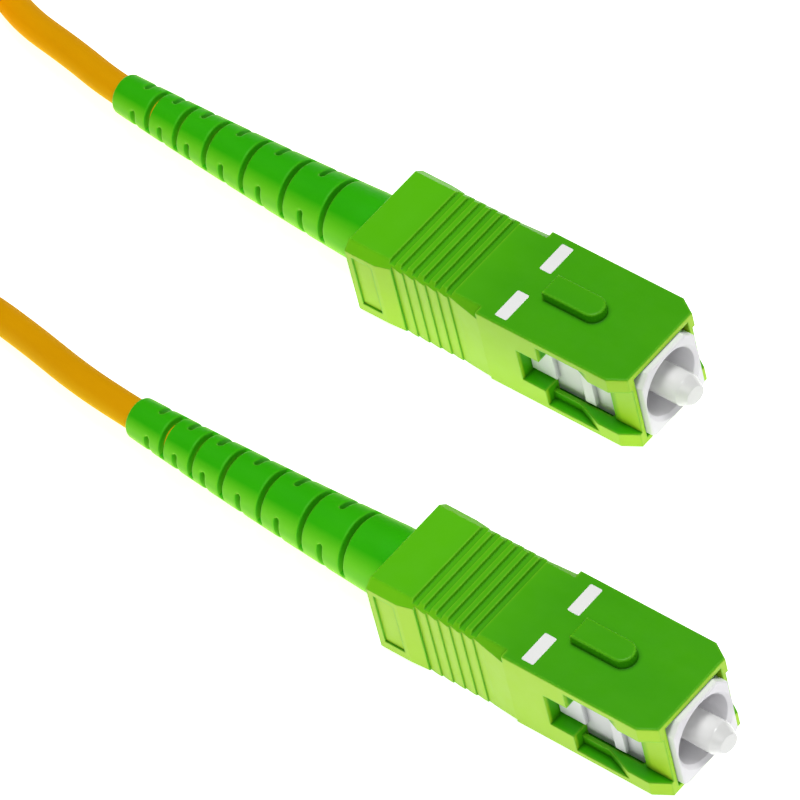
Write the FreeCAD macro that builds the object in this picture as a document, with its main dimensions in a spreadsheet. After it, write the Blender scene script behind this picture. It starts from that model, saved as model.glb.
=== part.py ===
import FreeCAD, Part
import math
import os
import Sketcher

# Armoured fibre patch cord: a square push-pull plug with a 2.5 mm ferrule on
# each end of a 2.4 mm cable. Millimetres, +Z up. +X points along both plugs
# towards their ferrule tips. The origin is on the floor, under the middle of
# the two plugs. Plug "a" lies on the +Y side and further back, plug "b" on the
# -Y side and further forward.
#
# A plug is drawn in a frame of its own: its axis is X, its housing's front
# face is x = 0, and Z points to its key.

os.makedirs("parts", exist_ok=True)
doc = FreeCAD.newDocument("fibre_patch_cord")
V = FreeCAD.Vector

# ---------------------------------------------------------------- dimensions
sheet = doc.addObject("Spreadsheet::Sheet", "Dim")
DIM = [
    # places of the two plugs
    ("plug_a_x", 14.075), ("plug_a_y", 11.725),
    ("plug_b_x", 35.675), ("plug_b_y", -11.725),
    ("axis_z", 3.7),
    # outer housing
    ("wide", 9.0), ("high", 7.4), ("long", 26.0),
    ("nose_run", 1.4), ("nose_half", 3.7),
    ("grip_end", 23.2), ("waist_start", 21.35), ("waist_end", 15.7),
    ("waist_half", 4.2), ("step_at", 13.5),
    ("bevel_in", 3.75), ("bevel_down", 0.70), ("under_bevel", 0.34),
    ("cavity_half", 3.1), ("cavity_half_high", 3.2),
    ("rear_bore", 2.97), ("rear_bore_deep", 5.0),
    ("rib_first", 21.77), ("rib_pitch", 1.07), ("rib_deep", 0.24),
    ("rib_top", 0.66), ("rib_floor", 0.50), ("rib_half", 4.3),
    ("nick_run", 0.80), ("nick_deep", 0.11), ("ribs", 6),
    ("panel_back", 25.45), ("panel_front", 23.62), ("panel_deep", 0.15),
    ("panel_high", 5.1),
    ("win_back", 10.1), ("win_neck", 8.0), ("win_front", 2.4),
    ("neck_half", 1.6), ("win_half", 2.3), ("strip_half", 3.45),
    ("cam_half", 3.70), ("cam_turn", 5.5), ("cam_out", 3.3),
    ("cam_half_high", 3.12),
    ("room_half", 3.42), ("room_front", 2.75), ("room_half_high", 3.0),
    ("key_back", 10.0), ("key_front", 5.05), ("key_half", 1.0), ("key_high", 0.9),
    ("edge", 0.14), ("key_edge", 0.16),
    # plug frame
    ("frame_front", 0.55), ("frame_back", 15.5), ("frame_half", 3.0),
    ("frame_half_high", 3.1), ("frame_cut", 0.9), ("frame_cut_low", 0.3),
    ("boss_back", 5.2), ("boss_front", 4.25), ("boss_half", 3.4),
    ("boss_half_high", 2.1), ("ear_back", 10.0), ("ear_front", 7.75),
    ("ear_half_high", 1.3),
    ("frame_bore", 2.7), ("frame_bore_end", 6.9), ("frame_web", 1.45),
    ("frame_web_end", 8.1), ("frame_rear_bore", 2.4), ("bore_lead", 0.28),
    # ferrule and its holder
    ("ferrule_r", 1.25), ("ferrule_tip", 2.75), ("cone_run", 0.95),
    ("cone_r", 0.75), ("ferrule_end", 10.4), ("polish_deg", 8.0),
    ("shank_r", 1.05), ("shank_front", 6.9),
    ("flange_front", 8.15), ("flange_back", 11.0), ("flange_r", 2.15),
    ("tail_r", 0.9), ("tail_end", 14.0), ("tail_bore", 0.6),
    # spring
    ("wire_r", 0.19), ("spring_r", 1.5), ("spring_pitch", 0.8),
    # back post and crimp ring
    ("post_front", 13.3), ("post_r", 2.4), ("cup_r", 2.0), ("cup_end", 16.2),
    ("post_flange_end", 16.7), ("post_flange_r", 2.9), ("barrel_r", 1.7),
    ("barrel_end", 22.4), ("post_bore", 0.9),
    ("crimp_front", 16.9), ("crimp_r", 2.2), ("crimp_neck", 23.4),
    ("crimp_neck_r", 1.7), ("crimp_end", 27.4),
    # boot
    ("boot_front", 20.6), ("boot_neck", 24.2), ("boot_neck_r", 2.62), ("boot_r", 2.82), ("boot_taper", 28.0),
    ("boot_end", 52.5), ("boot_end_r", 1.6), ("boot_bore", 1.25),
    ("slit", 0.42), ("slit_long_deg", 154.0), ("slit_short_deg", 110.0),
    ("slit_turn_deg", 25.0),
    # cable
    ("cable_r", 1.2), ("jacket_bore", 0.85), ("armour_bore", 0.62),
    ("buffer_r", 0.45), ("buffer_front", 12.6), ("jacket_front", 23.5), ("jacket_end", 51.0),
    # coil of the put-away length
    ("coil_x", -75.5), ("coil_y", 3.667), ("coil_out", 22.75),
    ("coil_in", 8.25), ("coil_low", 0.4), ("coil_high", 9.6),
    ("coil_round", 1.0), ("tie_long", 5.0), ("tie_thick", 0.4),
]
for i, (alias, value) in enumerate(DIM, start=1):
    sheet.set(f"A{i}", alias)
    sheet.set(f"B{i}", str(value))
    sheet.setAlias(f"B{i}", alias)
doc.recompute()
D = {alias: float(sheet.get(alias)) for alias, _ in DIM}

# distance behind the housing's rear face of each ring of slits in a boot
LONG_SLITS = (4.5, 8.6, 12.7, 16.6, 19.7, 22.7)
SHORT_SLITS = (6.6, 10.9, 14.8, 18.4, 21.3, 24.2)


# ------------------------------------------------------------------- helpers
def E(text):
    """An expression on the sheet: every word that is an alias gets its sheet."""
    out, word = "", ""
    for ch in text + " ":
        if ch.isalnum() or ch == "_":
            word += ch
        else:
            out += ("Dim." + word if word in D else word) + ch
            word = ""
    return out.strip()


def value(text):
    """The number that such an expression stands for: sums of signed products."""
    total = 0.0
    for term in text.replace("-", "+-").split("+"):
        term = term.strip()
        if not term:
            continue
        sign = 1.0
        if term.startswith("-"):
            sign, term = -1.0, term[1:].strip()
        product = 1.0
        for k, factor in enumerate(term.replace("/", "*1/").split("*")):
            factor = factor.strip()
            if factor.startswith("1/"):
                rest = factor[2:].strip()
                product /= D[rest] if rest in D else float(rest)
            else:
                product *= D[factor] if factor in D else float(factor)
        total += sign * product
    return total


def body(label):
    b = doc.addObject("PartDesign::Body", label)
    b.Label = label
    return b


def plane(b, role):
    return next(o for o in b.Origin.OriginFeatures if o.Role == role)


def sketch(b, name, role, along="0", turn=None):
    """A sketch on one of the body's own planes, moved along its normal."""
    s = b.newObject("Sketcher::SketchObject", name)
    s.AttachmentSupport = [(plane(b, role), "")]
    s.MapMode = "FlatFace"
    if along != "0":
        s.setExpression("AttachmentOffset.Base.z", E(along))
    if turn:
        s.AttachmentOffset = FreeCAD.Placement(V(0, 0, 0), FreeCAD.Rotation(V(1, 0, 0), value(turn)))
    return s


def fix(s, geo, pos, x, y):
    for kind, text in (("DistanceX", x), ("DistanceY", y)):
        n = s.addConstraint(Sketcher.Constraint(kind, geo, pos, value(text)))
        s.renameConstraint(n, f"k{n}")
        s.setExpression(f"Constraints.k{n}", E(text))


def outline(s, points):
    """A closed outline of straight lines through points given as expressions."""
    xy = [V(value(x), value(y), 0) for x, y in points]
    first = len(s.Geometry)
    n = len(xy)
    for i in range(n):
        s.addGeometry(Part.LineSegment(xy[i], xy[(i + 1) % n]), False)
    for i in range(n):
        s.addConstraint(Sketcher.Constraint("Coincident", first + i, 2, first + (i + 1) % n, 1))
    for i in range(n):
        fix(s, first + i, 1, *points[i])


def mirrored(points):
    return [(x, "-" + y if not y.startswith("-") else y[1:]) for x, y in points]


def circle(s, radius):
    g = s.addGeometry(Part.Circle(V(0, 0, 0), V(0, 0, 1), value(radius)), False)
    s.addConstraint(Sketcher.Constraint("Coincident", g, 3, -1, 1))
    n = s.addConstraint(Sketcher.Constraint("Radius", g, value(radius)))
    s.renameConstraint(n, f"k{n}")
    s.setExpression(f"Constraints.k{n}", E(radius))


def pad(b, name, s, length, both=False, back=False):
    p = b.newObject("PartDesign::Pad", name)
    p.Profile = s
    p.Type = "Length"
    p.SideType = "Symmetric" if both else "One side"
    p.Reversed = back
    p.setExpression("Length", E(length))
    doc.recompute()
    return p


def pocket(b, name, s, length=None, both=False, back=False):
    before = b.Shape.Volume
    p = b.newObject("PartDesign::Pocket", name)
    p.Profile = s
    p.SideType = "Symmetric" if both else "One side"
    p.Reversed = back
    if length is None:
        p.Type = "ThroughAll"
    else:
        p.Type = "Length"
        p.setExpression("Length", E(length))
    doc.recompute()
    if not b.Shape.Volume < before - 1e-6:
        raise RuntimeError(f"{b.Label}.{name} cut nothing")
    return p


def turned(b, name, s, cut=False, degrees=None, both=False):
    before = b.Shape.Volume if cut else 0.0
    r = b.newObject("PartDesign::Groove" if cut else "PartDesign::Revolution", name)
    r.Profile = s
    r.ReferenceAxis = (s, ["H_Axis"])
    r.Midplane = both
    if degrees is None:
        r.Angle = 360.0
    else:
        r.setExpression("Angle", E(degrees))
    doc.recompute()
    if cut and not b.Shape.Volume < before - 1e-6:
        raise RuntimeError(f"{b.Label}.{name} cut nothing")
    return r


def edges_where(shape, test):
    names = []
    for i, e in enumerate(shape.Edges, start=1):
        if test(e.BoundBox, e):
            names.append(f"Edge{i}")
    return names


def rounded(b, name, base, test, radius):
    names = edges_where(base.Shape, test)
    f = b.newObject("PartDesign::Fillet", name)
    f.Base = (base, names)
    f.setExpression("Radius", E(radius))
    doc.recompute()
    return f


def near(a, c, tol=0.02):
    return abs(a - c) < tol


# ---------------------------------------------------------- pieces of a plug
def outer_housing(tag, place):
    b = body("outer_housing_" + tag)
    # plan outline: grip block, slanted shoulder, narrower waist, full-width
    # front with tapered front corners
    right = [
        ("-long", "-wide/2"), ("-grip_end", "-wide/2"),
        ("-waist_start", "-waist_half"), ("-waist_end", "-waist_half"),
        ("-step_at", "-wide/2"), ("-nose_run", "-wide/2"), ("0", "-nose_half"),
    ]
    s = sketch(b, "plan_" + tag, "XY_Plane")
    outline(s, right + list(reversed(mirrored(right))))
    pad(b, "block_" + tag, s, "high", both=True)
    # bevels along the grip's upper edges, and small ones under it, which end
    # in a step where the full-width front starts
    s = sketch(b, "bevel_sk_" + tag, "YZ_Plane", along="-step_at")
    top = [("bevel_in", "high/2"), ("wide/2+0.3", "high/2-bevel_down-0.28"), ("wide/2+0.3", "high/2+0.2"), ("bevel_in", "high/2+0.2")]
    low = [("wide/2-under_bevel", "-high/2"), ("wide/2+0.3", "-high/2+under_bevel+0.3"), ("wide/2+0.3", "-high/2-0.2"), ("wide/2-under_bevel", "-high/2-0.2")]
    for pts in (top, low):
        outline(s, pts)
        outline(s, [("-" + x.replace("-", "~").replace("+", "-").replace("~", "+"), y) for x, y in pts])
    pocket(b, "bevel_" + tag, s, "long")
    # cross ribs of the grip
    s = sketch(b, "rib_sk_" + tag, "XZ_Plane")
    outline(s, [
        ("-rib_first-rib_top/2", "high/2+0.1"), ("-rib_first-rib_floor/2", "high/2-rib_deep"),
        ("-rib_first+rib_floor/2", "high/2-rib_deep"), ("-rib_first+rib_top/2", "high/2+0.1"),
    ])
    rib = pocket(b, "rib_" + tag, s, "2*rib_half", both=True)
    # saw-tooth ribs down both sides of the waist, in line with the upper ones
    s = sketch(b, "nick_sk_" + tag, "XY_Plane")
    nick = [
        ("-rib_first", "-waist_half-0.3"), ("-rib_first", "-waist_half+nick_deep"),
        ("-rib_first+nick_run", "-waist_half"), ("-rib_first+nick_run", "-waist_half-0.3"),
    ]
    outline(s, nick)
    outline(s, [(x, y.replace("-waist_half", "waist_half").replace("-0.3", "+0.3") if "nick_deep" not in y else "waist_half-nick_deep") for x, y in nick])
    nicks = pocket(b, "nick_" + tag, s, "2*high", both=True)
    row = b.newObject("PartDesign::LinearPattern", "rows_" + tag)
    row.Originals = [rib, nicks]
    row.Direction = (plane(b, "X_Axis"), [""])
    row.Mode = "Extent"
    row.setExpression("Length", E("rib_pitch*5"))
    row.Occurrences = int(D["ribs"])
    b.Tip = row
    doc.recompute()
    # bare recessed panel on each side of the grip block
    s = sketch(b, "panel_sk_" + tag, "XY_Plane")
    panel = [
        ("-panel_back", "-wide/2-0.2"), ("-panel_back", "-wide/2+panel_deep"),
        ("-panel_front", "-wide/2+panel_deep"), ("-panel_front", "-wide/2-0.2"),
    ]
    outline(s, panel)
    outline(s, [(x, {"-wide/2-0.2": "wide/2+0.2", "-wide/2+panel_deep": "wide/2-panel_deep"}[y]) for x, y in panel])
    pocket(b, "panel_" + tag, s, "panel_high", both=True)
    # hollow for the plug frame, and the round mouth that the boot sits in
    s = sketch(b, "hollow_sk_" + tag, "YZ_Plane", along="0.5")
    outline(s, [
        ("-cavity_half", "-cavity_half_high"), ("cavity_half", "-cavity_half_high"),
        ("cavity_half", "cavity_half_high"), ("-cavity_half", "cavity_half_high"),
    ])
    pocket(b, "hollow_" + tag, s, "long-rear_bore_deep+0.5")
    s = sketch(b, "mouth_sk_" + tag, "YZ_Plane", along="-long+rear_bore_deep")
    circle(s, "rear_bore")
    pocket(b, "mouth_" + tag, s, "rear_bore_deep+1")

    # side windows: room beside the frame, a neck behind, the main window with
    # the channel in front of it, and the cam pockets above and below
    for name, points, height in (
        ("room", [("-win_neck", "room_half"), ("-win_neck", "cavity_half-0.2"),
                  ("-room_front", "cavity_half-0.2"), ("-room_front", "room_half")], "2*room_half_high"),
        ("neck", [("-win_back", "wide/2+0.2"), ("-win_back", "cavity_half-0.2"),
                  ("-win_neck+0.1", "cavity_half-0.2"), ("-win_neck+0.1", "wide/2+0.2")], "2*neck_half"),
        ("window", [("-win_neck", "wide/2+0.2"), ("-win_neck", "cavity_half-0.2"),
                    ("-win_front", "cavity_half-0.2"), ("-win_front", "strip_half"),
                    ("0.2", "strip_half"), ("0.2", "wide/2+0.2")], "2*win_half"),
        ("cam", [("-win_neck", "wide/2+0.2"), ("-win_neck", "cam_half"), ("-cam_turn", "cam_half"),
                 ("-cam_out", "wide/2"), ("-cam_out", "wide/2+0.2")], "2*cam_half_high"),
    ):
        s = sketch(b, name + "_sk_" + tag, "XY_Plane")
        outline(s, points)
        outline(s, [(x, "-" + y.replace("-", "~").replace("+", "-").replace("~", "+")) for x, y in points])
        last = pocket(b, name + "_" + tag, s, height, both=True)
    # key on top, square behind and round in front
    s = sketch(b, "key_sk_" + tag, "XY_Plane", along="high/2-0.3")
    back, tip, half = -D["key_back"], -D["key_front"], D["key_half"]
    mid = tip - half
    g = [
        s.addGeometry(Part.LineSegment(V(mid, half, 0), V(back, half, 0)), False),
        s.addGeometry(Part.LineSegment(V(back, half, 0), V(back, -half, 0)), False),
        s.addGeometry(Part.LineSegment(V(back, -half, 0), V(mid, -half, 0)), False),
        s.addGeometry(Part.Arc(V(mid, -half, 0), V(tip, 0, 0), V(mid, half, 0)), False),
    ]
    for i in range(4):
        s.addConstraint(Sketcher.Constraint("Coincident", g[i], 2, g[(i + 1) % 4], 1))
    fix(s, g[1], 1, "-key_back", "key_half")
    fix(s, g[2], 1, "-key_back", "-key_half")
    fix(s, g[3], 1, "-key_front-key_half", "-key_half")
    fix(s, g[0], 1, "-key_front-key_half", "key_half")
    n = s.addConstraint(Sketcher.Constraint("DistanceX", g[3], 3, mid))
    s.renameConstraint(n, f"k{n}")
    s.setExpression(f"Constraints.k{n}", E("-key_front-key_half"))
    key = pad(b, "key_" + tag, s, "key_high+0.3")
    b.Tip = key
    # moulded radii: key, upper and lower long edges of the front, front corners
    hz, hw = D["high"] / 2, D["wide"] / 2
    kz = hz + D["key_high"]
    f = rounded(b, "key_edge_" + tag, key, lambda q, e: near(q.ZMin, kz) and near(q.ZMax, kz), "key_edge")
    b.Tip = f

    def outer(q, e):
        flat = near(q.ZMin, q.ZMax) and near(abs(q.ZMin), hz)
        if flat and q.XMin > -D["step_at"] - 0.05 and near(abs(q.YMin), hw) and near(q.YMin, q.YMax) and q.XLength > 2:
            return True
        if flat and near(q.XMax, 0.0) and q.YLength > 0.5 and abs(q.YMin) > 3.2:
            return True
        return flat and near(q.XMin, -D["long"]) and near(q.XMax, -D["long"]) and q.YLength > 4

    f = rounded(b, "edge_" + tag, f, outer, "edge")
    b.Tip = f
    doc.recompute()
    b.Placement = place
    return b


def plug_frame(tag, place):
    b = body("plug_frame_" + tag)
    s = sketch(b, "frame_sk_" + tag, "YZ_Plane", along="frame_front")
    a, c, k, low = "frame_half", "frame_half_high", "frame_cut", "frame_cut_low"
    outline(s, [
        (f"-{a}+{low}", f"-{c}"), (f"{a}-{low}", f"-{c}"), (a, f"-{c}+{low}"), (a, f"{c}-{k}"),
        (f"{a}-{k}", c), (f"-{a}+{k}", c), (f"-{a}", f"{c}-{k}"), (f"-{a}", f"-{c}+{low}"),
    ])
    pad(b, "frame_" + tag, s, "frame_front+frame_back", back=True)
    # bosses that a latch hooks behind, and ears that stop the housing
    for name, back, front, tall in (("boss", "-boss_back", "-boss_front", "2*boss_half_high"), ("ear", "-ear_back", "-ear_front", "2*ear_half_high")):
        s = sketch(b, name + "_sk_" + tag, "XY_Plane")
        outline(s, [(back, "-boss_half"), (front, "-boss_half"), (front, "boss_half"), (back, "boss_half")])
        pad(b, name + "_" + tag, s, tall, both=True)
    # stepped bore: room for a sleeve round the ferrule, a web, the spring's room
    s = sketch(b, "bore_sk_" + tag, "XY_Plane")
    outline(s, [
        ("frame_front+0.2", "0"), ("frame_front+0.2", "frame_bore+bore_lead+0.2"), ("frame_front-bore_lead", "frame_bore"),
        ("-frame_bore_end", "frame_bore"), ("-frame_bore_end", "frame_web"), ("-frame_web_end", "frame_web"),
        ("-frame_web_end", "frame_rear_bore"), ("-frame_back-0.2", "frame_rear_bore"), ("-frame_back-0.2", "0"),
    ])
    last = turned(b, "bore_" + tag, s, cut=True)
    fx = D["frame_front"]
    f = rounded(b, "frame_edge_" + tag, last, lambda q, e: near(q.XMin, fx) and near(q.XMax, fx) and e.Curve.TypeId == "Part::GeomLine", "edge")
    b.Tip = f
    doc.recompute()
    b.Placement = place
    return b


def ferrule(tag, place):
    b = body("ferrule_" + tag)
    # the shank in the holder is a little thinner than the free length
    s = sketch(b, "ferrule_sk_" + tag, "XY_Plane")
    outline(s, [
        ("-ferrule_end", "0"), ("-ferrule_end", "shank_r"), ("-shank_front", "shank_r"),
        ("-shank_front", "ferrule_r"), ("ferrule_tip-cone_run", "ferrule_r"),
        ("ferrule_tip+0.1", "cone_r-0.08"), ("ferrule_tip+0.1", "0"),
    ])
    turned(b, "ferrule_rev_" + tag, s)
    # the tip is polished at 8 degrees, tilted about the key's direction
    s = sketch(b, "polish_sk_" + tag, "XY_Plane")
    t = math.tan(math.radians(D["polish_deg"]))
    x0 = D["ferrule_tip"] - t * D["cone_r"]
    tilt = [(x0 + 2 * t, 2.0), (x0 - 2 * t, -2.0), (4.0, -2.0), (4.0, 2.0)]
    outline(s, [(f"{x:.6f}", f"{y:.6f}") for x, y in tilt])
    pocket(b, "polish_" + tag, s, "4*ferrule_r", both=True)
    b.Placement = place
    return b


def revolved(label, tag, points, place, axis_role="XY_Plane"):
    b = body(f"{label}_{tag}")
    s = sketch(b, f"{label}_sk_{tag}", axis_role)
    outline(s, points)
    turned(b, f"{label}_rev_{tag}", s)
    b.Placement = place
    return b


def ferrule_flange(tag, place):
    b = revolved("ferrule_flange", tag, [
        ("-flange_front", "shank_r"), ("-flange_front", "flange_r"), ("-flange_back", "flange_r"),
        ("-flange_back", "tail_r"), ("-tail_end", "tail_r"), ("-tail_end", "tail_bore"),
        ("-ferrule_end", "tail_bore"), ("-ferrule_end", "shank_r"),
    ], place)
    # two keying notches in its rim
    s = sketch(b, "notch_sk_" + tag, "YZ_Plane", along="-flange_front")
    for sign in ("", "-"):
        outline(s, [
            ("-0.4", f"{sign}flange_r{'-' if not sign else '+'}0.3"), ("0.4", f"{sign}flange_r{'-' if not sign else '+'}0.3"),
            ("0.4", f"{sign}flange_r{'+' if not sign else '-'}0.3"), ("-0.4", f"{sign}flange_r{'+' if not sign else '-'}0.3"),
        ])
    pocket(b, "notch_" + tag, s, "1.5")
    return b


def spring(tag, place):
    length = D["cup_end"] - D["flange_back"] - 2 * D["wire_r"] - 0.02
    coil = doc.addObject("Part::Helix", "spring_path_" + tag)
    coil.setExpression("Pitch", E("spring_pitch"))
    coil.Height = length
    coil.setExpression("Radius", E("spring_r"))
    wire = doc.addObject("Part::Circle", "spring_wire_" + tag)
    wire.setExpression("Radius", E("wire_r"))
    wire.Placement = FreeCAD.Placement(V(D["spring_r"], 0, 0), FreeCAD.Rotation(V(1, 0, 0), 90))
    sweep = doc.addObject("Part::Sweep", "spring_" + tag)
    sweep.Label = "spring_" + tag
    sweep.Sections = [wire]
    sweep.Spine = (coil, ["Edge1"])
    sweep.Solid = True
    sweep.Frenet = True
    doc.recompute()
    # the helix climbs along Z: it is laid along -X, behind the flange
    lay = FreeCAD.Placement(V(-D["flange_back"] - D["wire_r"] - 0.01, 0, 0), FreeCAD.Rotation(V(0, 1, 0), -90))
    sweep.Placement = place.multiply(lay)
    return sweep


def boot(tag, place):
    b = body("boot_" + tag)
    s = sketch(b, "boot_sk_" + tag, "XY_Plane")
    outline(s, [
        ("-boot_front", "crimp_r"), ("-boot_front", "boot_neck_r"), ("-boot_neck", "boot_neck_r"),
        ("-boot_neck-0.3", "boot_r"), ("-boot_taper", "boot_r"),
        ("-boot_end+0.35", "boot_end_r"), ("-boot_end+0.1", "boot_end_r-0.08"), ("-boot_end", "boot_end_r-0.22"),
        ("-boot_end", "boot_bore"),
        ("-crimp_end-0.1", "boot_bore"), ("-crimp_end-0.1", "crimp_neck_r"),
        ("-crimp_neck-0.1", "crimp_neck_r"), ("-crimp_neck-0.1", "crimp_r"),
    ])
    turned(b, "boot_rev_" + tag, s)
    # rings of slits: two long slits to a ring, then two short ones turned a
    # quarter, by turns along the boot
    for name, places, span, turn in (
        ("long", LONG_SLITS, "slit_long_deg", "slit_turn_deg"),
        ("short", SHORT_SLITS, "slit_short_deg", "slit_turn_deg+90"),
    ):
        s = sketch(b, f"{name}_sk_{tag}", "XZ_Plane", turn=turn)
        for d in places:
            outline(s, [
                (f"-long-{d}-slit/2", "boot_bore-0.3"), (f"-long-{d}+slit/2", "boot_bore-0.3"),
                (f"-long-{d}+slit/2", "boot_r+0.6"), (f"-long-{d}-slit/2", "boot_r+0.6"),
            ])
        cut = turned(b, f"{name}_slits_{tag}", s, cut=True, degrees=span, both=True)
        ring = b.newObject("PartDesign::PolarPattern", f"{name}_rings_{tag}")
        ring.Originals = [cut]
        ring.Axis = (plane(b, "X_Axis"), [""])
        ring.Angle = 360.0
        ring.Occurrences = 2
        b.Tip = ring
        doc.recompute()
    b.Placement = place
    return b


def make_plug(tag):
    place = FreeCAD.Placement(V(D[f"plug_{tag}_x"], D[f"plug_{tag}_y"], D["axis_z"]), FreeCAD.Rotation())
    pieces = [
        outer_housing(tag, place),
        plug_frame(tag, place),
        ferrule(tag, place),
        ferrule_flange(tag, place),
        spring(tag, place),
        revolved("back_post", tag, [
            ("-post_front", "cup_r"), ("-post_front", "post_r"), ("-frame_back", "post_r"),
            ("-frame_back", "post_flange_r"), ("-post_flange_end", "post_flange_r"),
            ("-post_flange_end", "barrel_r"), ("-barrel_end", "barrel_r"), ("-barrel_end", "post_bore"),
            ("-cup_end", "post_bore"), ("-cup_end", "cup_r"),
        ], place),
        revolved("crimp_ring", tag, [
            ("-crimp_front", "barrel_r"), ("-crimp_front", "crimp_r"), ("-crimp_neck", "crimp_r"),
            ("-crimp_neck-0.1", "crimp_neck_r"), ("-crimp_end", "crimp_neck_r"), ("-crimp_end", "cable_r"),
            ("-jacket_front", "cable_r"), ("-jacket_front", "barrel_r-0.05"), ("-barrel_end-0.2", "barrel_r-0.05"),
            ("-barrel_end-0.2", "barrel_r"),
        ], place),
        boot(tag, place),
        revolved("cable_jacket", tag, [
            ("-jacket_front", "jacket_bore"), ("-jacket_front", "cable_r"),
            ("-jacket_end", "cable_r"), ("-jacket_end", "jacket_bore"),
        ], place),
        revolved("armour_tube", tag, [
            ("-jacket_front", "armour_bore"), ("-jacket_front", "jacket_bore"),
            ("-jacket_end", "jacket_bore"), ("-jacket_end", "armour_bore"),
        ], place),
        revolved("tight_buffer", tag, [
            ("-buffer_front", "0"), ("-buffer_front", "buffer_r"), ("-jacket_end", "buffer_r"), ("-jacket_end", "0"),
        ], place),
    ]
    return pieces


# --------------------------------------------------------------- loose cable
# Points of the cable's route, from inside boot a to the coil, and from the
# coil to inside boot b.
LEAD_A = [
    (-36.925, 11.725, 3.70), (-41.000, 11.725, 3.66), (-46.000, 12.650, 3.30), (-51.500, 14.950, 2.60),
    (-58.000, 18.274, 1.75), (-64.800, 22.200, 1.60),
]
LEAD_B = [
    (-68.887, -16.685, 8.80), (-62.700, -14.675, 8.00), (-56.200, -12.500, 6.00), (-49.600, -10.350, 3.50),
    (-43.000, -8.850, 1.75), (-36.500, -8.500, 1.40), (-30.500, -9.400, 2.15),
    (-25.000, -10.750, 3.05), (-20.000, -11.725, 3.62), (-15.325, -11.725, 3.70),
]


def cable_run(label, route):
    """A round tube on straight runs joined by tangent arcs, each as large as its runs allow."""
    pts = [V(*p) for p in route]
    edges, start, total, radii = [], pts[0], 0.0, []
    for i in range(1, len(pts) - 1):
        a, c = pts[i] - pts[i - 1], pts[i + 1] - pts[i]
        half = a.getAngle(c) / 2
        cut = 0.45 * min(a.Length, c.Length)
        radius = cut / math.tan(half)
        radii.append(radius)
        p, q = pts[i] - V(a).normalize() * cut, pts[i] + V(c).normalize() * cut
        inward = (V(c).normalize() - V(a).normalize()).normalize()
        m = pts[i] + inward * (radius / math.cos(half) - radius)
        edges.append(Part.LineSegment(start, p).toShape())
        edges.append(Part.Arc(p, m, q).toShape())
        start = q
    edges.append(Part.LineSegment(start, pts[-1]).toShape())
    path = Part.Wire(edges)
    total = sum(e.Length for e in edges)
    way = (pts[1] - pts[0]).normalize()
    ring = Part.Wire([Part.makeCircle(D["cable_r"], pts[0], way)])
    tube = path.makePipeShell([ring], True, False)
    want = math.pi * D["cable_r"] ** 2 * total
    print(f"{label}: length {total:.2f}, volume {tube.Volume:.2f} of {want:.2f}, radii", [round(r, 1) for r in radii])
    if abs(tube.Volume - want) > 0.01 * want:
        raise RuntimeError(f"{label} isn't a plain tube")
    o = doc.addObject("Part::Feature", label)
    o.Label = label
    o.Shape = tube
    return o


def coil_body():
    b = body("cable_coil")
    s = sketch(b, "coil_sk", "XZ_Plane")
    r = "coil_round"
    outline(s, [
        (f"coil_in+{r}", "0"), (f"coil_out-{r}", "0"), ("coil_out", r), ("coil_out", f"coil_high-{r}"),
        (f"coil_out-{r}", "coil_high"), (f"coil_in+{r}", "coil_high"), ("coil_in", f"coil_high-{r}"), ("coil_in", r),
    ])
    rev = b.newObject("PartDesign::Revolution", "coil_rev")
    rev.Profile = s
    rev.ReferenceAxis = (s, ["V_Axis"])
    rev.Angle = 360.0
    doc.recompute()
    b.Placement = FreeCAD.Placement(V(D["coil_x"], D["coil_y"], D["coil_low"]), FreeCAD.Rotation())
    return b


def coil_tie(label, degrees, coil):
    """A strap round the coil's section: a plain band with the coil cut out of it."""
    band = doc.addObject("Part::Box", label + "_band")
    band.setExpression("Length", E("coil_out-coil_in+2*tie_thick"))
    band.setExpression("Width", E("tie_long"))
    band.setExpression("Height", E("coil_high+2*tie_thick"))
    turn = FreeCAD.Rotation(V(0, 0, 1), degrees)
    corner = turn.multVec(V(D["coil_in"] - D["tie_thick"], -D["tie_long"] / 2, 0))
    band.Placement = FreeCAD.Placement(V(D["coil_x"], D["coil_y"], D["coil_low"] - D["tie_thick"]) + corner, turn)
    cut = doc.addObject("Part::Cut", label)
    cut.Label = label
    cut.Base = band
    cut.Tool = coil
    doc.recompute()
    return cut


pieces = make_plug("a") + make_plug("b")
coil = coil_body()
pieces += [cable_run("cable_lead_a", LEAD_A), cable_run("cable_lead_b", LEAD_B), coil]
pieces += [coil_tie("coil_tie_1", 150.0, coil), coil_tie("coil_tie_2", 340.0, coil)]
doc.recompute()

# ------------------------------------------------------------ check and write
for o in doc.Objects:
    if any(s in ("Invalid", "Error") for s in o.State):
        raise RuntimeError(f"{o.Name}: {o.State}")
for o in pieces:
    if o.Shape.isNull() or not o.Shape.isValid() or o.Shape.Volume <= 0:
        raise RuntimeError(f"{o.Label} has no good shape")
for name in os.listdir("parts"):
    if name.endswith(".step"):
        os.remove(os.path.join("parts", name))
for o in pieces:
    box = o.Shape.BoundBox
    print(f"{o.Label}: {len(o.Shape.Solids)} solid, {o.Shape.Volume:.2f} mm3, "
          f"x {box.XMin:.2f}..{box.XMax:.2f} y {box.YMin:.2f}..{box.YMax:.2f} z {box.ZMin:.2f}..{box.ZMax:.2f}")
    o.Shape.exportStep(os.path.join("parts", o.Label + ".step"))
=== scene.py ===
import math

import bmesh
import bpy
import numpy as np
from mathutils import Matrix, Vector


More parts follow.
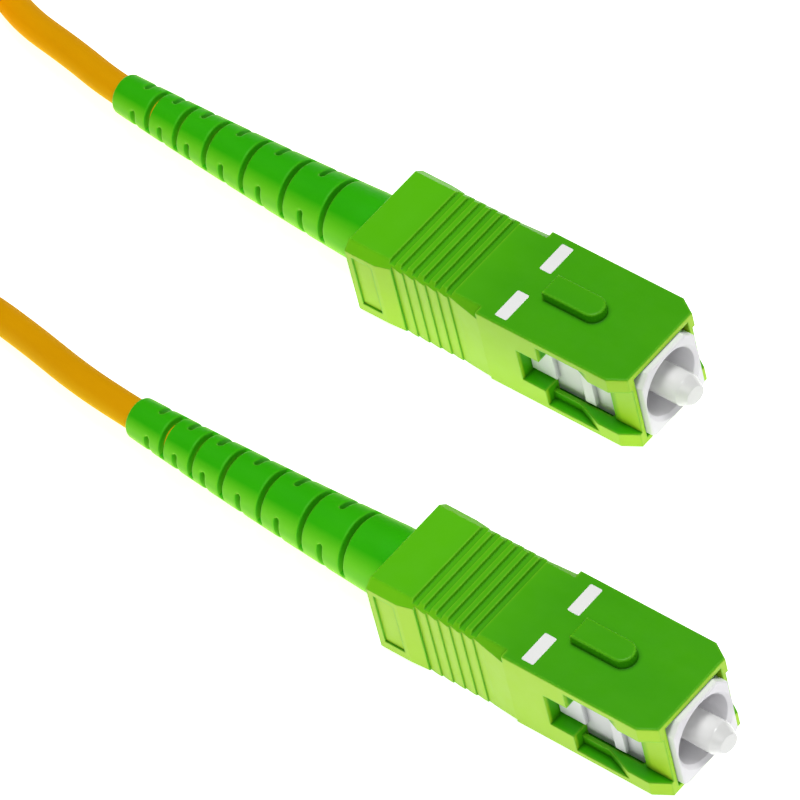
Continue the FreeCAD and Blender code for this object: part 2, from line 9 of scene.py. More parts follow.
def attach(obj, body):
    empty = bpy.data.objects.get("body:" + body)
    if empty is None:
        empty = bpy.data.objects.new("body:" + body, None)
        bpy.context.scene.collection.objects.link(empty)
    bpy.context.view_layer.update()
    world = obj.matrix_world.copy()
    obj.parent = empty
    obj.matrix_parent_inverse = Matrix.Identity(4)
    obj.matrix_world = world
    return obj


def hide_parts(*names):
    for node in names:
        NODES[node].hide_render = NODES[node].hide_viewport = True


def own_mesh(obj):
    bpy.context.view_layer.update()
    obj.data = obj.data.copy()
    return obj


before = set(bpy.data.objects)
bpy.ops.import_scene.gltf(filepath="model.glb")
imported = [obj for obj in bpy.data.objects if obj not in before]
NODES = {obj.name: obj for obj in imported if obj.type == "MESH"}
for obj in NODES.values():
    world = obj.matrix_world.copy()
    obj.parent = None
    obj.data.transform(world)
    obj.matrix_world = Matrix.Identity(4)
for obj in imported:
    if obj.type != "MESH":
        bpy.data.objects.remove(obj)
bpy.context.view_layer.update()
MM = 0.001
scene = bpy.context.scene
scene.view_settings.view_transform = "Standard"
scene.view_settings.look = "None"

# Places of the two plugs: front face of the housing, and the plug's axis.
PLUG = {"a": (14.075, 11.725, 3.7), "b": (35.675, -11.725, 3.7)}
# Each boot is bent a little sideways by its cable, from where its taper starts.
BEND_FROM, BEND = 28.0, 0.62 / 24.5 ** 2

# ------------------------------------------------------------------- camera
right = Vector((0.7580, 0.6294, -0.1710)).normalized()
forward = Vector((-0.5162, 0.4188, -0.7471)).normalized()
right = (right - forward * right.dot(forward)).normalized()
up = right.cross(forward)
cam_data = bpy.data.cameras.new("camera")
cam = bpy.data.objects.new("camera", cam_data)
scene.collection.objects.link(cam)
cam.matrix_world = Matrix((
    (right.x, up.x, -forward.x, 0.338055),
    (right.y, up.y, -forward.y, -0.275285),
    (right.z, up.z, -forward.z, 0.495010),
    (0, 0, 0, 1),
))
cam_data.sensor_width = 36.0
cam_data.lens = 413.96
cam_data.clip_start, cam_data.clip_end = 0.02, 20.0
scene.camera = cam

# --------------------------------------------------------------------- cord
LEAD_A = [
    (-36.925, 12.271, 3.70), (-39.800, 12.417, 3.70), (-44.700, 13.480, 3.48), (-51.300, 14.640, 2.85),
    (-58.000, 18.100, 1.75), (-64.800, 22.200, 1.60),
]
LEAD_B = [
    (-68.887, -16.685, 8.80), (-62.700, -14.675, 8.00), (-56.200, -12.500, 6.00), (-49.600, -10.150, 3.50),
    (-43.000, -8.350, 1.75), (-36.300, -7.700, 1.50), (-29.300, -9.100, 2.62), (-23.400, -10.470, 3.42),
    (-18.400, -11.033, 3.70), (-15.325, -11.179, 3.70),
]
CABLE_R = 1.2
COIL = (-75.5, 3.667)
COIL_IN, COIL_OUT, COIL_LOW, COIL_HIGH = 8.25, 22.75, 0.4, 10.0
TURNS, FIRST, PER_TURN = 19 + 228 / 360, 60.0, 14
OUTER, PITCH, LOW = 21.4, 2.4, 1.60


def smooth(t):
    t = min(1.0, max(0.0, t))
    return t * t * (3 - 2 * t)


def wound(turn):
    """Radius and height of the wound cable: in on the first layer, out on the next, and so on, four layers."""
    layer = TURNS / 4
    k, part = int(turn // layer), turn % layer
    inward = part if k % 2 == 0 else layer - part
    r = OUTER - PITCH * inward
    z = LOW
    for c in (1, 2, 3):
        z += PITCH * smooth((turn - c * layer) / 0.5 + 0.5)
    # the real turns don't lie quite true
    r += 0.04 * math.sin(2.1 * turn + 0.4) + 0.03 * math.sin(7.3 * turn)
    return r, z


def coil_points():
    """Control points of the wound cable."""
    count = round(TURNS * PER_TURN)
    points = []
    for i in range(1, count):
        turn = TURNS * i / count
        r, z = wound(turn)
        ease = smooth(min(i, count - i) / 5)
        a = math.radians(FIRST + 360.0 * turn)
        r = r * (1 + (1 / 0.975 - 1) * ease)
        points.append((COIL[0] + r * math.cos(a), COIL[1] + r * math.sin(a), z))
    return points


route = LEAD_A + coil_points() + LEAD_B
curve = bpy.data.curves.new("patch_cable", "CURVE")
curve.dimensions = "3D"
spline = curve.splines.new("NURBS")
spline.points.add(len(route) - 1)
for p, co in zip(spline.points, route):
    p.co = (co[0] * MM, co[1] * MM, co[2] * MM, 1.0)
    p.radius = CABLE_R * MM
spline.order_u = 3
spline.use_endpoint_u = True
spline.resolution_u = 6
curve.bevel_depth = 1.0
curve.bevel_resolution = 7
curve.use_fill_caps = True
cable = bpy.data.objects.new("patch_cable", curve)
scene.collection.objects.link(cable)
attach(cable, "cord")
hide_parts("cable_lead_a", "cable_lead_b", "cable_coil")

# ---------------------------------------------------------------- materials


class Shader:
    """A principled material with a few procedural helpers."""

    def __init__(self, name, **values):
        self.mat = bpy.data.materials.new(name)
        self.mat.use_nodes = True
        self.nodes, self.links = self.mat.node_tree.nodes, self.mat.node_tree.links
        self.bsdf = self.nodes["Principled BSDF"]
        for socket, v in values.items():
            self.bsdf.inputs[socket.replace("_", " ")].default_value = v
        self.texco = self.nodes.new("ShaderNodeTexCoord")
        self.coord = self.texco.outputs["Object"]

    def stretch(self, x, y, z, turn=(0, 0, 0)):
        m = self.nodes.new("ShaderNodeMapping")
        m.inputs["Scale"].default_value = (x, y, z)
        m.inputs["Rotation"].default_value = turn
        self.links.new(self.coord, m.inputs["Vector"])
        return m.outputs["Vector"]

    def noise(self, scale, detail=3.0, rough=0.55, vector=None):
        n = self.nodes.new("ShaderNodeTexNoise")
        n.inputs["Scale"].default_value = scale
        n.inputs["Detail"].default_value = detail
        n.inputs["Roughness"].default_value = rough
        self.links.new(vector or self.coord, n.inputs["Vector"])
        return n.outputs["Fac"]

    def ramp(self, fac, stops):
        r = self.nodes.new("ShaderNodeValToRGB")
        e = r.color_ramp.elements
        while len(e) < len(stops):
            e.new(0.5)
        for el, (pos, colour) in zip(e, stops):
            el.position = pos
            el.color = (*colour, 1.0) if len(colour) == 3 else colour
        self.links.new(fac, r.inputs["Fac"])
        return r.outputs["Color"]

    def span(self, fac, low, high, a=0.3, b=0.7):
        m = self.nodes.new("ShaderNodeMapRange")
        m.inputs["From Min"].default_value, m.inputs["From Max"].default_value = a, b
        m.inputs["To Min"].default_value, m.inputs["To Max"].default_value = low, high
        self.links.new(fac, m.inputs["Value"])
        return m.outputs["Result"]

    def math(self, op, a, b=0.0):
        m = self.nodes.new("ShaderNodeMath")
        m.operation = op
        for i, v in enumerate((a, b)):
            if isinstance(v, (int, float)):
                m.inputs[i].default_value = v
            else:
                self.links.new(v, m.inputs[i])
        return m.outputs["Value"]

    def split(self, vector):
        s = self.nodes.new("ShaderNodeSeparateXYZ")
        self.links.new(vector, s.inputs["Vector"])
        return s.outputs["X"], s.outputs["Y"], s.outputs["Z"]

    def edges(self, reach, patchy):
        """How near an outward edge is, 0 to 1, a little uneven along it, for a painted highlight."""
        ao = self.nodes.new("ShaderNodeAmbientOcclusion")
        ao.inside = True
        ao.samples = 8
        ao.inputs["Distance"].default_value = reach
        near = self.span(ao.outputs["AO"], 1.0, 0.0, 0.50, 0.95)
        return self.math("MULTIPLY", near, self.span(patchy, 0.55, 1.0))

    def corner_shade_mask(self, reach):
        """How deep in a corner between the piece's own faces, 0 to 1, for painted shade."""
        ao = self.nodes.new("ShaderNodeAmbientOcclusion")
        ao.only_local = True
        ao.samples = 8
        ao.inputs["Distance"].default_value = reach
        return self.span(ao.outputs["AO"], 1.0, 0.0, 0.30, 0.95)

    def mix(self, fac, colour, other):
        m = self.nodes.new("ShaderNodeMix")
        m.data_type = "RGBA"
        self.links.new(fac, m.inputs["Factor"])
        self.links.new(colour, m.inputs[6])
        m.inputs[7].default_value = (*other, 1.0)
        return m.outputs[2]

    def set(self, socket, out):
        self.links.new(out, self.bsdf.inputs[socket])

    def soft_edges(self, radius):
        """Shades sharp edges as if they were moulded with a small radius."""
        b = self.nodes.new("ShaderNodeBevel")
        b.samples = 6
        b.inputs["Radius"].default_value = radius
        return b.outputs["Normal"]

    def bump(self, *layers, normal=None):
        """Bump layers (height, distance in m, strength), coarse first."""
        for height, distance, strength in layers:
            b = self.nodes.new("ShaderNodeBump")
            b.inputs["Distance"].default_value = distance
            b.inputs["Strength"].default_value = strength
            self.links.new(height, b.inputs["Height"])
            if normal:
                self.links.new(normal, b.inputs["Normal"])
            normal = b.outputs["Normal"]
        self.links.new(normal, self.bsdf.inputs["Normal"])


def moulded(name, dark, light, rough, grain=9000.0, depth=0.000004, wave=0.000010, edge_highlight=None, reach=0.00016,
            rear_light=None, wall_light=None, ledge_light=None, flank_light=None, under=None, turned_down=(-0.20, 0.75),
            corner_shade=None, corner_shade_reach=0.00045, soft=None, **values):
    """Moulded plastic: faint flow marks in its colour, uneven gloss, a slight wave and fine grain.

    rubbed is a painted highlight along its outward edges, within reach of the edge, gate a painted
    lighter colour towards its rear end, upright painted light on all its side walls, ledge painted light
    on the sills of its windows, flank painted light on its two long sides only and under painted light on
    what is turned down. nook is painted shade in its grooves and corners. soft is the radius of its edges.
    """
    s = Shader(name, **values)
    flow = s.noise(260.0, 4.0, 0.6, s.stretch(0.35, 1.0, 1.0))
    colour = s.ramp(flow, [(0.30, dark), (0.72, light)])
    # painted light: the colour is lighter towards the rear end, as if more light fell there
    if rear_light:
        along = s.split(s.texco.outputs["Generated"])[0]
        colour = s.mix(s.span(along, 1.0, 0.0, 0.10, 0.50), colour, rear_light)
    # painted light: side walls below the top are paler and yellower, as if lit from the floor
    if wall_light:
        nx, _, nz = s.split(s.texco.outputs["Normal"])
        below = s.span(s.split(s.coord)[2], 1.0, 0.0, 0.00725, 0.00745)
        wall = s.math("MULTIPLY", s.span(s.math("ABSOLUTE", nz), 1.0, 0.0, 0.20, 0.85), below)
        # the walls of the grooves, across the rear half, and those inside the windows get no painted light and stay
        # deep
        gx, gy, _ = s.split(s.texco.outputs["Generated"])
        rear = s.span(gx, 1.0, 0.0, 0.48, 0.52)
        groove = s.math("MULTIPLY", s.span(s.math("ABSOLUTE", nx), 0.0, 1.0, 0.35, 0.65), rear)
        inside = s.span(s.math("ABSOLUTE", s.math("SUBTRACT", gy, 0.5)), 1.0, 0.0, 0.460, 0.492)
        middle = s.math("MULTIPLY", s.math("SUBTRACT", 1.0, rear), s.span(gx, 1.0, 0.0, 0.90, 0.93))
        kept = s.math("MAXIMUM", groove, s.math("MULTIPLY", inside, middle))
        colour = s.mix(s.math("MULTIPLY", wall, s.math("SUBTRACT", 1.0, kept)), colour, wall_light)
        # painted light: upward sills low in the windows are lighter than the shade they lie in
        if ledge_light:
            low = s.span(s.split(s.coord)[2], 1.0, 0.0, 0.0060, 0.0066)
            colour = s.mix(s.math("MULTIPLY", s.span(nz, 0.0, 1.0, 0.55, 0.90), low), colour, ledge_light)
    # painted light: the two long sides are paler, as a rim of light
    if flank_light:
        side = s.math("ABSOLUTE", s.split(s.texco.outputs["Normal"])[1])
        colour = s.mix(s.span(side, 0.0, 1.0, 0.56, 0.92), colour, flank_light)
    # painted light: what faces down is lighter, as if lit from the floor
    if under:
        colour = s.mix(s.span(s.split(s.texco.outputs["Normal"])[2], 1.0, 0.0, *turned_down), colour, under)
    # painted shade: darker in grooves and corners, weaker on the side walls
    if corner_shade:
        deep = s.corner_shade_mask(corner_shade_reach)
        if wall_light:
            deep = s.math("MULTIPLY", deep, s.span(wall, 1.0, 0.40, 0.0, 1.0))
        colour = s.mix(deep, colour, corner_shade)
    # painted highlight: outward edges are lighter, a little uneven along them
    if edge_highlight:
        colour = s.mix(s.edges(reach, s.noise(1500.0, 3.0)), colour, edge_highlight)
    s.set("Base Color", colour)
    s.set("Roughness", s.span(s.noise(700.0, 3.0), rough - 0.04, rough + 0.05))
    s.bump((s.noise(330.0, 2.0, 0.5, s.stretch(0.5, 1.0, 1.0)), wave, 0.5), (s.noise(grain, 2.0), depth, 0.6),
           normal=s.soft_edges(soft) if soft else None)
    return s


def turned(name, dark, light, rough, lines=9000.0):
    """Turned or drawn metal: fine rings round the plug's axis."""
    s = Shader(name, Metallic=1.0)
    rings = s.noise(lines, 2.0, 0.5, s.stretch(1.0, 0.015, 0.015))
    s.set("Base Color", s.ramp(s.noise(500.0, 4.0), [(0.3, dark), (0.7, light)]))
    s.set("Roughness", s.span(rings, rough - 0.08, rough + 0.10))
    s.bump((rings, 0.000006, 0.7))
    return s


# grip plastic with painted light on its edges, rear end, side walls and window sills, and painted shade in its grooves
# and corners
green = moulded("grip_plastic", (0.054, 0.390, 0.0002), (0.066, 0.425, 0.0006), 0.42, edge_highlight=(0.24, 0.68, 0.020), reach=0.00022,
                rear_light=(0.105, 0.555, 0.0010), wall_light=(0.430, 0.740, 0.0250), ledge_light=(0.070, 0.600, 0.0005), corner_shade=(0.012, 0.150, 0.0002),
                soft=0.00013, IOR=1.46, Specular_IOR_Level=0.22)
# boot rubber with painted highlights on its edges, its long sides and its underside
soft_green = moulded("boot_rubber", (0.026, 0.455, 0.0002), (0.036, 0.505, 0.0006), 0.52, grain=6000.0, depth=0.000006,
                     edge_highlight=(0.14, 0.66, 0.02), reach=0.00022, flank_light=(0.170, 0.700, 0.0120), under=(0.420, 0.900, 0.0400), turned_down=(-0.60, 0.15),
                     IOR=1.42, Specular_IOR_Level=0.15, Sheen_Weight=0.75, Sheen_Roughness=0.30, Sheen_Tint=(0.60, 1.0, 0.16, 1.0))
# frame plastic with painted shade in its corners
white = moulded("frame_plastic", (0.840, 0.830, 0.860), (0.880, 0.870, 0.900), 0.40, corner_shade=(0.300, 0.300, 0.320), corner_shade_reach=0.0006, soft=0.00009,
                IOR=1.46, Specular_IOR_Level=0.3)
ceramic = moulded("ferrule_ceramic", (0.745, 0.750, 0.735), (0.795, 0.800, 0.785), 0.22, grain=14000.0, depth=0.000001, wave=0.000002, IOR=1.7, Specular_IOR_Level=0.4)
# cable jacket with painted light on its underside
jacket = moulded("cable_jacket", (0.74, 0.340, 0.0002), (0.79, 0.375, 0.0004), 0.70, grain=7000.0, depth=0.000005,
                 under=(0.93, 0.540, 0.0004), IOR=1.36, Specular_IOR_Level=0.06)
ink = moulded("bar_ink", (0.92, 0.93, 0.91), (0.97, 0.97, 0.96), 0.55, grain=16000.0, depth=0.000004)
flange_metal = turned("turned_steel", (0.52, 0.52, 0.51), (0.64, 0.64, 0.62), 0.27)
wire = turned("spring_wire", (0.46, 0.46, 0.47), (0.60, 0.60, 0.61), 0.30, lines=5000.0)
nickel = turned("nickel_plate", (0.60, 0.58, 0.52), (0.70, 0.68, 0.62), 0.24)
buffer = moulded("buffer_white", (0.80, 0.80, 0.78), (0.88, 0.88, 0.86), 0.35)

armour = turned("armour_strip", (0.44, 0.44, 0.45), (0.58, 0.58, 0.59), 0.34, lines=4000.0)

# woven strap: threads over and under each other, along and across it
strap = Shader("strap_fabric", Sheen_Weight=0.5, Sheen_Roughness=0.45)
su, sv, _ = strap.split(strap.texco.outputs["UV"])
warp = strap.math("SINE", strap.math("MULTIPLY", su, math.pi / 0.34))
weft = strap.math("SINE", strap.math("MULTIPLY", sv, math.pi / 0.30))
weave = strap.math("ADD", strap.math("MULTIPLY", strap.math("MULTIPLY", warp, weft), 0.5), 0.5)
fuzz = strap.noise(5200.0, 3.0)
strap.set("Base Color", strap.ramp(strap.math("ADD", strap.math("MULTIPLY", weave, 0.6), strap.math("MULTIPLY", fuzz, 0.4)),
                                   [(0.15, (0.006, 0.006, 0.007)), (0.85, (0.040, 0.040, 0.043))]))
strap.set("Roughness", strap.span(fuzz, 0.75, 0.95))
strap.bump((weave, 0.00008, 0.9), (fuzz, 0.00003, 0.7))


def paint(o, shader):
    o.data.materials.clear()
    o.data.materials.append(shader.mat)


def dress(node, shader, bevel=None, segments=2, angle=28.0):
    """A finish for a piece, with its moulded or turned edges softened."""
    o = NODES[node]
    paint(o, shader)
    if not bevel:
        return
    w = o.modifiers.new("weld", "WELD")
    w.merge_threshold = 0.000002
    whole = volume(o)
    for merge, width in ((0.6, 1.0), (0.2, 1.0), (1.2, 0.9), (0.6, 0.75), (0.1, 0.6), (0.6, 0.4)):
        d = o.modifiers.new("flat", "DECIMATE")
        d.decimate_type = "DISSOLVE"
        d.angle_limit = math.radians(merge)
        b = o.modifiers.new("edges", "BEVEL")
        b.width = bevel * width * MM
        b.segments = segments
        b.limit_method = "ANGLE"
        b.angle_limit = math.radians(angle)
        b.use_clamp_overlap = True
        n = o.modifiers.new("normals", "WEIGHTED_NORMAL")
        n.keep_sharp = True
        if sound(o, whole):
            return
        for m in (n, b, d):
            o.modifiers.remove(m)
    print("edges of", node, "left as they are")


def shown(o):
    return o.evaluated_get(bpy.context.evaluated_depsgraph_get()).to_mesh()


def volume(o):
    bm = bmesh.new()
    bm.from_mesh(shown(o))
    v = bm.calc_volume(signed=True)
    bm.free()
    return v


def sound(o, whole):
    """Whether a piece with softened edges is still closed, as large as before, and cut into true triangles."""
    me = shown(o)
    me.calc_loop_triangles()
    covered = np.zeros(len(me.polygons))
    for tri in me.loop_triangles:
        covered[tri.polygon_index] += tri.area
    area = np.array([p.area for p in me.polygons])
    if np.any(covered > area * 1.002 + 1e-12):
        return False
    bm = bmesh.new()
    bm.from_mesh(me)
    fine = all(len(e.link_faces) == 2 for e in bm.edges) and abs(bm.calc_volume(signed=True) / whole - 1) < 0.01
    bm.free()
    return fine


for t in "ab":
    dress(f"outer_housing_{t}", green)
    dress(f"plug_frame_{t}", white)
    dress(f"ferrule_{t}", ceramic, 0.05)
    dress(f"ferrule_flange_{t}", flange_metal)
    dress(f"back_post_{t}", nickel)
    dress(f"crimp_ring_{t}", nickel)
curve.materials.append(jacket.mat)


def piece(name, me, shader, body):
    me.materials.append(shader.mat)
    o = bpy.data.objects.new(name, me)
    scene.collection.objects.link(o)
    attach(o, body)
    return o


# -------------------------------------------------------------------- boots
# A soft tapered sleeve with slits that stop short of meeting, long and short ones in turn,
# each with a round end and a soft lip. Lengths run back from the housing's front.
REAR = 26.0
LONG_SLITS = (4.5, 8.6, 12.7, 16.6, 19.7, 22.7)
SHORT_SLITS = (6.6, 10.9, 14.8, 18.4, 21.3, 24.2)
SLITS = [(REAR + d, 25.0, 77.0) for d in LONG_SLITS] + [(REAR + d, 115.0, 55.0) for d in SHORT_SLITS]
SLIT_FLOOR, SLIT_WALL, SLIT_LIP, LIP_DEEP = 0.16, 0.23, 0.42, 0.11
OUTSIDE = [(20.6, 2.62), (24.2, 2.62), (24.5, 2.82), (28.0, 2.82), (52.15, 1.60)]
END_AND_INSIDE = [
    (52.27, 1.588), (52.37, 1.550), (52.45, 1.490), (52.49, 1.420), (52.50, 1.355), (52.47, 1.290), (52.38, 1.245),
    (51.90, 1.225), (51.40, 1.100), (27.52, 1.100), (27.48, 1.700), (23.52, 1.700), (23.48, 2.200), (20.62, 2.200),
]


def spread(centres, offsets, base):
    """Sorted places: a base set, and each centre with its offsets to both sides."""
    values = list(base) + [c + s * o for c in centres for o in offsets for s in (-1, 1)]
    values = sorted(set(round(v, 4) for v in values))
    kept = [values[0]]
    for v in values[1:]:
        if v - kept[-1] > 0.012:
            kept.append(v)
    return kept


def boot_mesh(name, place):
    rows = spread([s[0] for s in SLITS], (0.0, 0.10, 0.16, 0.175, 0.23, 0.245, 0.27, 0.31, 0.36, 0.42, 0.52),
                  [x for x, _ in OUTSIDE] + [20.6 + 0.6 * k for k in range(53)])
    rows = np.array([x for x in rows if x <= 52.15])
    ends = [(c + s * half + turn) % 360 for _, c, half in ((0, 25.0, 77.0), (0, 115.0, 55.0)) for s in (-1, 1) for turn in (0, 180)]
    cols = spread(ends, [1.25 * k for k in range(9)], [4.0 * k for k in range(90)])
    cols = np.radians(np.array(sorted(set(c % 360 for c in cols))))
    r0 = np.interp(rows, [p[0] for p in OUTSIDE], [p[1] for p in OUTSIDE])
    R = np.repeat(r0[:, None], len(cols), axis=1)
    X, A = np.meshgrid(rows, cols, indexing="ij")
    deep = np.zeros_like(R)
    for at, centre, half in SLITS:
        for turn in (0.0, 180.0):
            off = np.abs((A - math.radians(centre + turn) + math.pi) % (2 * math.pi) - math.pi)
            arc = np.maximum(0.0, off * R - (math.radians(half) * R - SLIT_WALL))
            d = np.hypot(X - at, arc)
            full = R - 1.165
            lip = LIP_DEEP * (1 - np.sqrt(np.clip(1 - ((SLIT_LIP - d) / (SLIT_LIP - SLIT_WALL)) ** 2, 0, 1)))
            wall = full + (LIP_DEEP - full) * np.clip((d - SLIT_FLOOR) / (SLIT_WALL - SLIT_FLOOR), 0, 1)
            here = np.where(d <= SLIT_WALL, wall, np.where(d < SLIT_LIP, lip, 0.0))
            deep = np.maximum(deep, np.minimum(here, full))
    R = R - deep
    rest = np.array(END_AND_INSIDE)
    X = np.vstack([X, np.repeat(rest[:, :1], len(cols), axis=1)])
    R = np.vstack([R, np.repeat(rest[:, 1:], len(cols), axis=1)])
    A = np.repeat(cols[None, :], X.shape[0], axis=0)
    return sleeve(name, place, X, R, A)


def sleeve(name, place, X, R, A):
    """A closed sleeve round the plug's axis, bent with the boot: rows of length, radius and angle."""
    n, m = X.shape
    Y = BEND * np.maximum(0.0, X - BEND_FROM) ** 2 - R * np.sin(A)
    co = np.stack([place[0] - X, place[1] + Y, place[2] + R * np.cos(A)], axis=-1).reshape(-1, 3) * MM
    i, j = np.meshgrid(np.arange(n), np.arange(m), indexing="ij")
    i2, j2 = (i + 1) % n, (j + 1) % m
    quads = np.stack([i * m + j, i2 * m + j, i2 * m + j2, i * m + j2], axis=-1).reshape(-1, 4)
    me = bpy.data.meshes.new(name)
    me.from_pydata(co.tolist(), [], quads.tolist())
    me.shade_smooth()
    me.set_sharp_from_angle(angle=math.radians(42))
    me.update()
    return me


def layer_mesh(name, place, front, end, inner, outer, lap=0.0, columns=48):
    """A layer of the cable inside the boot; lap is the height of each turn's edge where it is wound strip."""
    corner = 0.04
    step = 0.075 if lap else 0.6
    xs = np.arange(front + corner, end - corner, step)
    X = np.concatenate([[front], xs, [end - corner, end, end, end - corner, 0.5 * (front + end), front + corner, front]])
    R = np.concatenate([[outer - corner], np.full(len(xs) + 1, outer), [outer - corner, inner + corner, inner, inner, inner, inner + corner]])
    cols = np.radians(np.arange(columns) * 360.0 / columns)
    X, A = np.meshgrid(X, cols, indexing="ij")
    R = np.repeat(R[:, None], columns, axis=1)
    if lap:
        turn = (X / 0.9 + A / (2 * math.pi)) % 1.0
        R = np.where(R >= outer - 1e-6, R - lap * np.clip(turn / 0.85, 0, 1) ** 2, R)
    return sleeve(name, place, X, R, A)


for t in "ab":
    o = piece(f"slit_boot_{t}", boot_mesh(f"slit_boot_{t}", PLUG[t]), soft_green, "cord")
    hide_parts(f"boot_{t}")
    for node, shader, slot, sizes in (
        ("cable_jacket", jacket, "jacket_yellow", (23.5, 51.0, 0.85, 1.20)),
        ("armour_tube", armour, "armour_steel", (23.5, 51.0, 0.62, 0.85, 0.07)),
        ("tight_buffer", buffer, "buffer_white", (12.6, 51.0, 0.05, 0.45)),
    ):
        o = piece(f"inner_{node}_{t}", layer_mesh(f"inner_{node}_{t}", PLUG[t], *sizes), shader, "cord")
        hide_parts(f"{node}_{t}")


# ------------------------------------------------------------------ springs
# Wound wire with closed ends, between the ferrule's holder and the bottom of the rear body's cup.
SPRING_FRONT, SPRING_BACK, SPRING_R, WIRE_R = 11.01, 16.19, 1.5, 0.19


def spring_mesh(name, place, turns=6.6, closed=0.8, per_turn=36, around=12):
    length = SPRING_BACK - SPRING_FRONT - 2 * WIRE_R
    tight = 2 * WIRE_R + 0.01
    pitch = (length - 2 * closed * tight) / (turns - 2 * closed)
    u = np.linspace(0, turns, round(turns * per_turn) + 1)
    x = np.interp(u, [0, closed, turns - closed, turns],
                  [0, closed * tight, closed * tight + pitch * (turns - 2 * closed), length]) + SPRING_FRONT + WIRE_R
    a = 2 * math.pi * u
    mid = np.stack([-x, SPRING_R * np.cos(a), SPRING_R * np.sin(a)], axis=1)
    out = np.stack([np.zeros_like(a), np.cos(a), np.sin(a)], axis=1)
    along = np.gradient(mid, axis=0)
    along /= np.linalg.norm(along, axis=1)[:, None]
    cross = np.cross(along, out)
    cross /= np.linalg.norm(cross, axis=1)[:, None]
    q = 2 * math.pi * np.arange(around) / around
    # the cut ends of the wire are rounded over
    rows = [(0, 0.55, 0.06)] + [(k, 1.0, 0.0) for k in range(len(u))] + [(len(u) - 1, 0.55, -0.06)]
    verts = []
    for k, size, back in rows:
        ring = out[k] * np.cos(q)[:, None] + cross[k] * np.sin(q)[:, None]
        verts.append(mid[k] - along[k] * back + ring * WIRE_R * size)
    co = (np.vstack(verts) + np.array(place)) * MM
    n = len(rows)
    faces = [[k * around + j, k * around + (j + 1) % around, (k + 1) * around + (j + 1) % around, (k + 1) * around + j]
             for k in range(n - 1) for j in range(around)]
    faces += [list(range(around))[::-1], [(n - 1) * around + j for j in range(around)]]
    me = bpy.data.meshes.new(name)
    me.from_pydata(co.tolist(), [], faces)
    bm = bmesh.new()
    bm.from_mesh(me)
    bmesh.ops.recalc_face_normals(bm, faces=bm.faces)
    bm.to_mesh(me)
    bm.free()
    me.shade_smooth()
    me.set_sharp_from_angle(angle=math.radians(50))
    return me


for t in "ab":
    o = piece(f"wound_spring_{t}", spring_mesh(f"wound_spring_{t}", PLUG[t]), wire, "cord")
    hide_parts(f"spring_{t}")
    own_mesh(o)


# ------------------------------------------------------------------- straps
def half_hull(points):
    out = []
    for p in points:
        while len(out) > 1 and (out[-1][0] - out[-2][0]) * (p[1] - out[-2][1]) >= (out[-1][1] - out[-2][1]) * (p[0] - out[-2][0]):
            out.pop()
        out.append(p)
    return out


def around_turns(angle, gap):
    """The tight line round the turns at one place of the coil: over the top outwards, and back under them."""
    first = (angle - FIRST) % 360 / 360
    turns = [wound(first + k) for k in range(20) if first + k < TURNS]
    rim = np.radians(np.arange(0, 360, 10))
    points = sorted((r + (CABLE_R + gap) * math.cos(q), z + (CABLE_R + gap) * math.sin(q)) for r, z in turns for q in rim)
    over, under = half_hull(points), half_hull(points[::-1])
    return np.array(over), np.array(under)


def strap_mesh(name, angle):
    """A woven strap once round the coil's turns, its tail pressed down over its start."""
    thick, tail, first_r = 0.36, 5.8, 15.2
    over, under = around_turns(angle, 0.20)
    loop = np.vstack([over, under[1:]])
    run = np.concatenate([[0], np.cumsum(np.linalg.norm(np.diff(loop, axis=0), axis=1))])
    whole = run[-1]
    start = np.interp(first_r, over[:, 0], run[:len(over)])
    s = np.arange(0.0, whole + tail, 0.4)
    path = np.stack([np.interp((start + s) % whole, run, loop[:, k]) for k in (0, 1)], axis=1)
    step = np.gradient(path, axis=0)
    step /= np.linalg.norm(step, axis=1)[:, None]
    lift = np.array([0.39 * smooth((v - whole + 2.2) / 2.0) for v in s])
    path = path + np.stack([-step[:, 1], step[:, 0]], axis=1) * lift[:, None]
    step = np.gradient(path, axis=0)
    step /= np.linalg.norm(step, axis=1)[:, None]
    normal = np.stack([-step[:, 1], step[:, 0]], axis=1)
    length = np.concatenate([[0], np.cumsum(np.linalg.norm(np.diff(path, axis=0), axis=1))])
    ca, sa = math.cos(math.radians(angle)), math.sin(math.radians(angle))
    section = []
    for k in range(28):
        q = 2 * math.pi * (k + 0.5) / 28
        c, s = math.cos(q), math.sin(q)
        section.append((2.5 * math.copysign(abs(c) ** 0.30, c), thick / 2 * math.copysign(abs(s) ** 0.55, s)))
    verts, uvs = [], []
    last = length[-1]
    for k, (pr, pz) in enumerate(path):
        # both ends of the strap are cut with round corners
        near = min(length[k], last - length[k])
        trim = 1.0 if near > 1.2 else 0.72 + 0.28 * math.sqrt(max(0.0, 1 - (1 - near / 1.2) ** 2))
        for w, h in section:
            r, z = pr + normal[k, 0] * h, pz + normal[k, 1] * h
            w *= trim
            verts.append(((COIL[0] + r * ca - w * sa) * MM, (COIL[1] + r * sa + w * ca) * MM, max(0.0, z) * MM))
            uvs.append((length[k], w))
    m = len(section)
    faces = [[k * m + j, k * m + (j + 1) % m, (k + 1) * m + (j + 1) % m, (k + 1) * m + j] for k in range(len(path) - 1) for j in range(m)]
    faces += [list(range(m))[::-1], [(len(path) - 1) * m + j for j in range(m)]]
    me = bpy.data.meshes.new(name)
    me.from_pydata(verts, [], faces)
    layer = me.uv_layers.new(name="along")
    for loop in me.loops:
        layer.data[loop.index].uv = uvs[loop.vertex_index]
    bm = bmesh.new()
    bm.from_mesh(me)
    bmesh.ops.recalc_face_normals(bm, faces=bm.faces)
    bm.to_mesh(me)
    bm.free()
    me.shade_smooth()
    me.set_sharp_from_angle(angle=math.radians(60))
    return me


for n, angle in ((1, 150.0), (2, 340.0)):
    o = piece(f"strap_{n}", strap_mesh(f"strap_{n}", angle), strap, "cord")
    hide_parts(f"coil_tie_{n}")


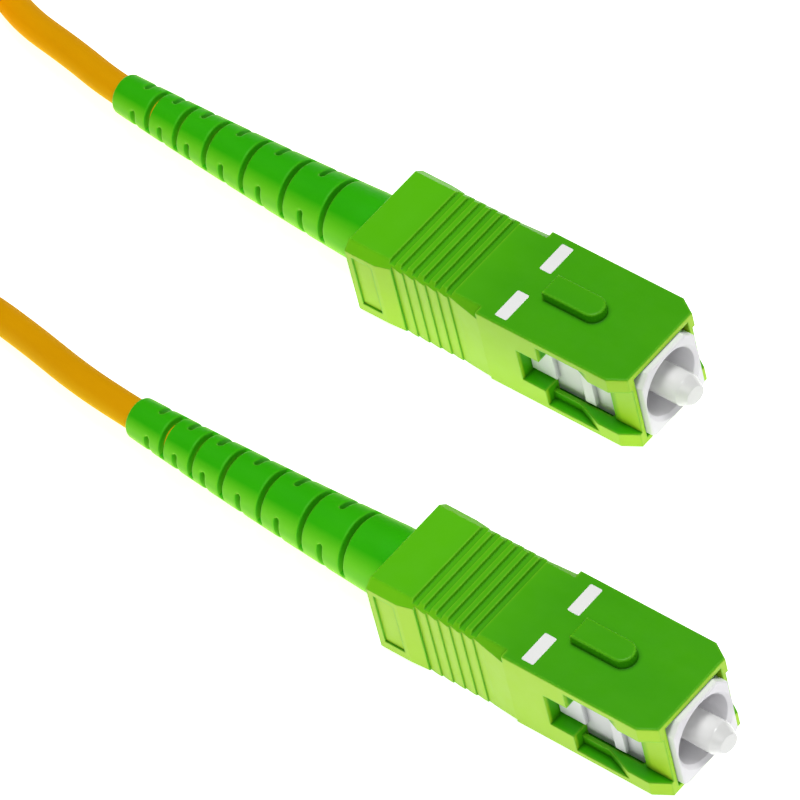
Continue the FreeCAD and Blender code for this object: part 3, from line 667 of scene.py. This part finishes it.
# ------------------------------------------------ white bars on the housings
def bar_mesh(name, t, side):
    """A printed bar with rounded corners, a film on the housing's top."""
    x0, y0, z0 = PLUG[t]
    lo, hi = sorted((side * 1.2, side * 3.9))
    corner = 0.12
    outline = []
    for cx, cy, start in ((-11.07 - corner, hi - corner, 0), (-12.15 + corner, hi - corner, 90), (-12.15 + corner, lo + corner, 180), (-11.07 - corner, lo + corner, 270)):
        for k in range(5):
            a = math.radians(start + 22.5 * k)
            outline.append((cx + corner * math.cos(a), cy + corner * math.sin(a)))
    bm = bmesh.new()
    rings = []
    for inset, z in ((0.0, 3.690), (0.0, 3.712), (0.03, 3.722)):
        mid = (-11.61, (lo + hi) / 2)
        ring = []
        for x, y in outline:
            x -= math.copysign(inset, x - mid[0])
            y -= math.copysign(inset, y - mid[1])
            ring.append(bm.verts.new(((x0 + x) * MM, (y0 + y) * MM, (z0 + z) * MM)))
        rings.append(ring)
    for a, b in zip(rings, rings[1:]):
        for k in range(len(a)):
            bm.faces.new((a[k], a[(k + 1) % len(a)], b[(k + 1) % len(a)], b[k]))
    bm.faces.new(rings[-1])
    bm.faces.new(rings[0][::-1])
    bmesh.ops.recalc_face_normals(bm, faces=bm.faces)
    me = bpy.data.meshes.new(name)
    bm.to_mesh(me)
    bm.free()
    return me


for t in "ab":
    for word, side in (("far", 1), ("near", -1)):
        piece(f"bar_{t}_{word}", bar_mesh(f"bar_{t}_{word}", t, side), ink, f"grip_{t}")

# -------------------------------------------------------- floor and lighting
bm = bmesh.new()
bmesh.ops.create_grid(bm, x_segments=2, y_segments=2, size=4.0)
me = bpy.data.meshes.new("floor")
bm.to_mesh(me)
bm.free()
floor = bpy.data.objects.new("floor", me)
scene.collection.objects.link(floor)
# just clear of the plugs' undersides, which are at nought
floor.location.z = -0.00001
ground = Shader("floor_light_table", IOR=1.45, Emission_Color=(1, 1, 1, 1), Emission_Strength=0.85)
ground.set("Base Color", ground.ramp(ground.noise(6.0), [(0.3, (0.90, 0.90, 0.90)), (0.7, (0.92, 0.92, 0.92))]))
ground.set("Roughness", ground.span(ground.noise(300.0), 0.75, 0.85))
me.materials.append(ground.mat)

world = bpy.data.worlds.new("studio")
world.use_nodes = True
world.node_tree.nodes["Background"].inputs["Color"].default_value = (1, 1, 1, 1)
world.node_tree.nodes["Background"].inputs["Strength"].default_value = 0.06
scene.world = world


def lamp(name, place, power, wide, high, at=(0, 0, 0.004)):
    d = bpy.data.lights.new(name, "AREA")
    d.shape, d.size, d.size_y, d.energy = "RECTANGLE", wide, high, power
    o = bpy.data.objects.new(name, d)
    scene.collection.objects.link(o)
    o.location = place
    o.rotation_mode = "QUATERNION"
    o.rotation_quaternion = (Vector(at) - Vector(place)).to_track_quat("-Z", "Y")
    o.visible_camera = False
    return o


lamp("overhead", (0.05, 0.05, 1.30), 12.4, 0.5, 0.5)
lamp("fill", (0.80, -0.63, 1.15), 3.4, 0.9, 0.9)
